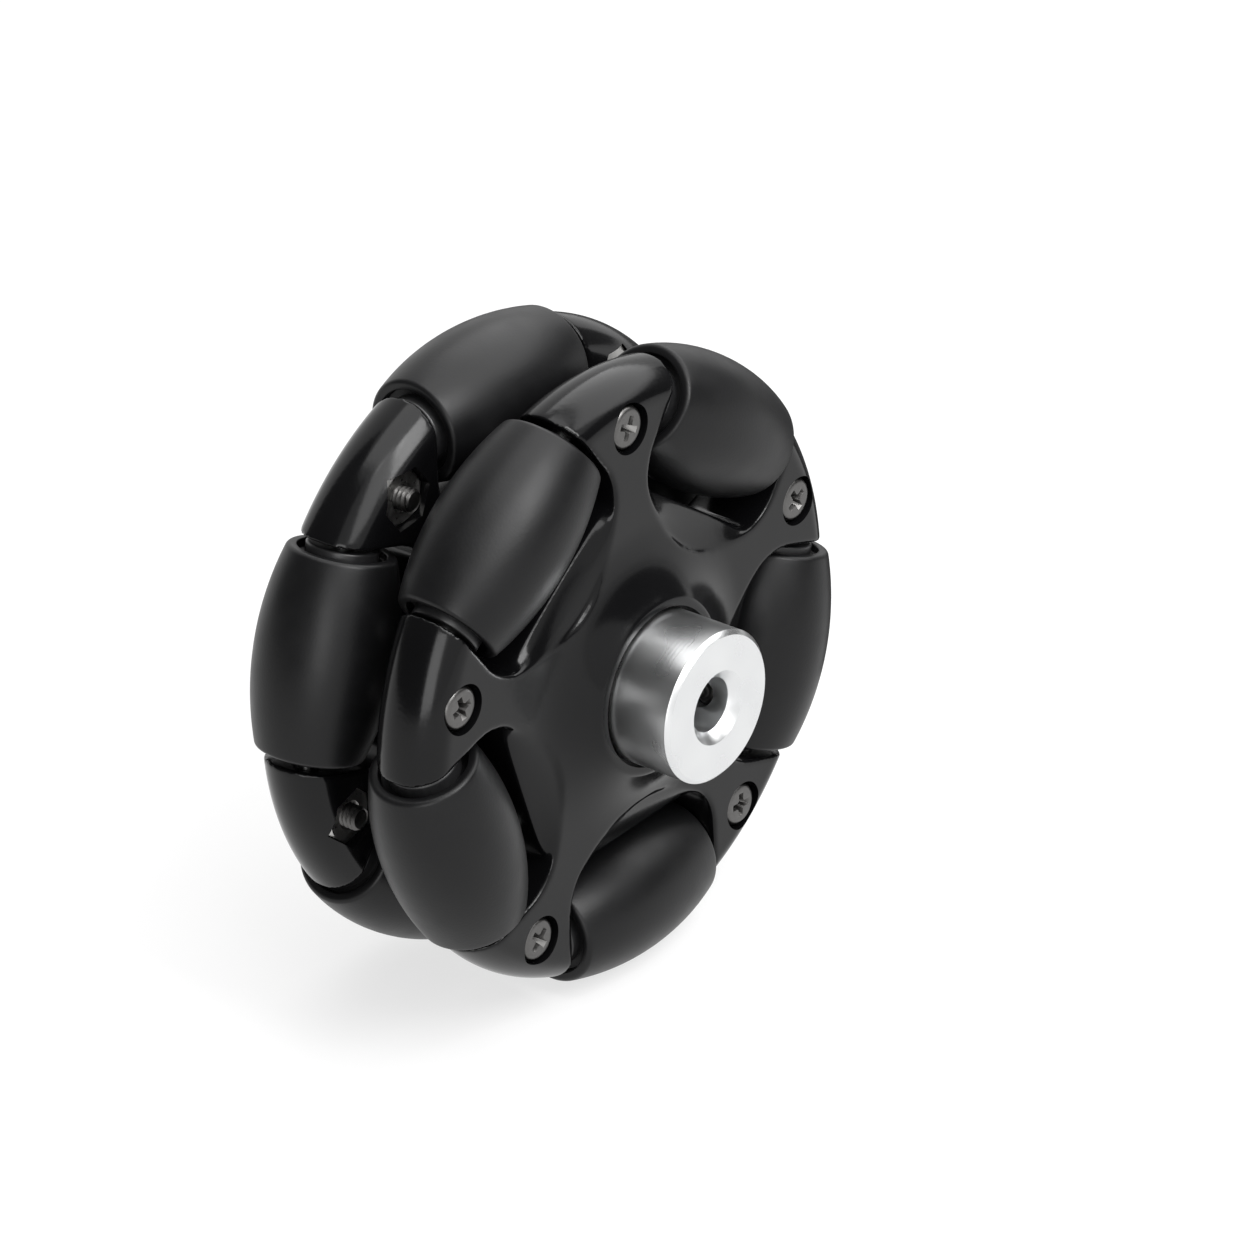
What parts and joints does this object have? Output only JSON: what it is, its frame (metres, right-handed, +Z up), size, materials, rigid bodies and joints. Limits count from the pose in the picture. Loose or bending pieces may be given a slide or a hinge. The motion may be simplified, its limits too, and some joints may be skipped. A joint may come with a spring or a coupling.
{
  "type": "omni wheel",
  "caption": "Double-row plastic omni wheel: rubber barrel rollers on steel pins between clamped half plates, with a bored metal shaft coupling standing out of the hub.",
  "frame": {"origin": "on the wheel's axis, mid-way between the two rows of rollers", "axes": "+Y along the wheel's axis towards the rear row, -Y out of the coupling, +Z up"},
  "size_m": [0.058, 0.0317, 0.058],
  "materials": {
    "plate": "semi-gloss moulded",
    "tread": "satin",
    "core": "moulded",
    "pin": "ground",
    "screw": "dark plated",
    "nut": "plated",
    "coupling": "turned"
  },
  "bodies": {
    "hub": {"front_outer_plate": "plate", "front_inner_plate": "plate", "rear_outer_plate": "plate", "rear_inner_plate": "plate", "front_pin_1": "pin", "front_pin_2": "pin", "front_pin_3": "pin", "front_pin_4": "pin", "front_pin_5": "pin", "rear_pin_1": "pin", "rear_pin_2": "pin", "rear_pin_3": "pin", "rear_pin_4": "pin", "rear_pin_5": "pin", "front_plate_screws": "screw", "front_plate_nuts": "nut", "rear_plate_screws": "screw", "rear_plate_nuts": "nut", "coupling": "coupling", "set_screw": "screw"},
    "front_roller_1": {"front_tread_1": "tread", "front_core_1": "core"},
    "front_roller_2": {"front_tread_2": "tread", "front_core_2": "core"},
    "front_roller_3": {"front_tread_3": "tread", "front_core_3": "core"},
    "front_roller_4": {"front_tread_4": "tread", "front_core_4": "core"},
    "front_roller_5": {"front_tread_5": "tread", "front_core_5": "core"},
    "rear_roller_1": {"rear_tread_1": "tread", "rear_core_1": "core"},
    "rear_roller_2": {"rear_tread_2": "tread", "rear_core_2": "core"},
    "rear_roller_3": {"rear_tread_3": "tread", "rear_core_3": "core"},
    "rear_roller_4": {"rear_tread_4": "tread", "rear_core_4": "core"},
    "rear_roller_5": {"rear_tread_5": "tread", "rear_core_5": "core"}
  },
  "joints": [
    {"name": "front_roller_1_spin", "type": "hinge", "parent": "hub", "child": "front_roller_1", "pos_m": [0.0134, -0.0065, 0.01845], "axis": [0.809, 0, -0.5878], "continuous": true},
    {"name": "front_roller_2_spin", "type": "hinge", "parent": "hub", "child": "front_roller_2", "pos_m": [0.02168, -0.0065, -0.00705], "axis": [-0.309, 0, -0.9511], "continuous": true},
    {"name": "front_roller_3_spin", "type": "hinge", "parent": "hub", "child": "front_roller_3", "pos_m": [0, -0.0065, -0.0228], "axis": [-1, 0, 0], "continuous": true},
    {"name": "front_roller_4_spin", "type": "hinge", "parent": "hub", "child": "front_roller_4", "pos_m": [-0.02168, -0.0065, -0.00705], "axis": [-0.309, 0, 0.9511], "continuous": true},
    {"name": "front_roller_5_spin", "type": "hinge", "parent": "hub", "child": "front_roller_5", "pos_m": [-0.0134, -0.0065, 0.01845], "axis": [0.809, 0, 0.5878], "continuous": true},
    {"name": "rear_roller_1_spin", "type": "hinge", "parent": "hub", "child": "rear_roller_1", "pos_m": [0, 0.0065, 0.0228], "axis": [-1, 0, 0], "continuous": true},
    {"name": "rear_roller_2_spin", "type": "hinge", "parent": "hub", "child": "rear_roller_2", "pos_m": [-0.02168, 0.0065, 0.00705], "axis": [-0.309, 0, -0.9511], "continuous": true},
    {"name": "rear_roller_3_spin", "type": "hinge", "parent": "hub", "child": "rear_roller_3", "pos_m": [-0.0134, 0.0065, -0.01845], "axis": [0.809, 0, -0.5878], "continuous": true},
    {"name": "rear_roller_4_spin", "type": "hinge", "parent": "hub", "child": "rear_roller_4", "pos_m": [0.0134, 0.0065, -0.01845], "axis": [0.809, 0, 0.5878], "continuous": true},
    {"name": "rear_roller_5_spin", "type": "hinge", "parent": "hub", "child": "rear_roller_5", "pos_m": [0.02168, 0.0065, 0.00705], "axis": [-0.309, 0, 0.9511], "continuous": true}
  ]
}
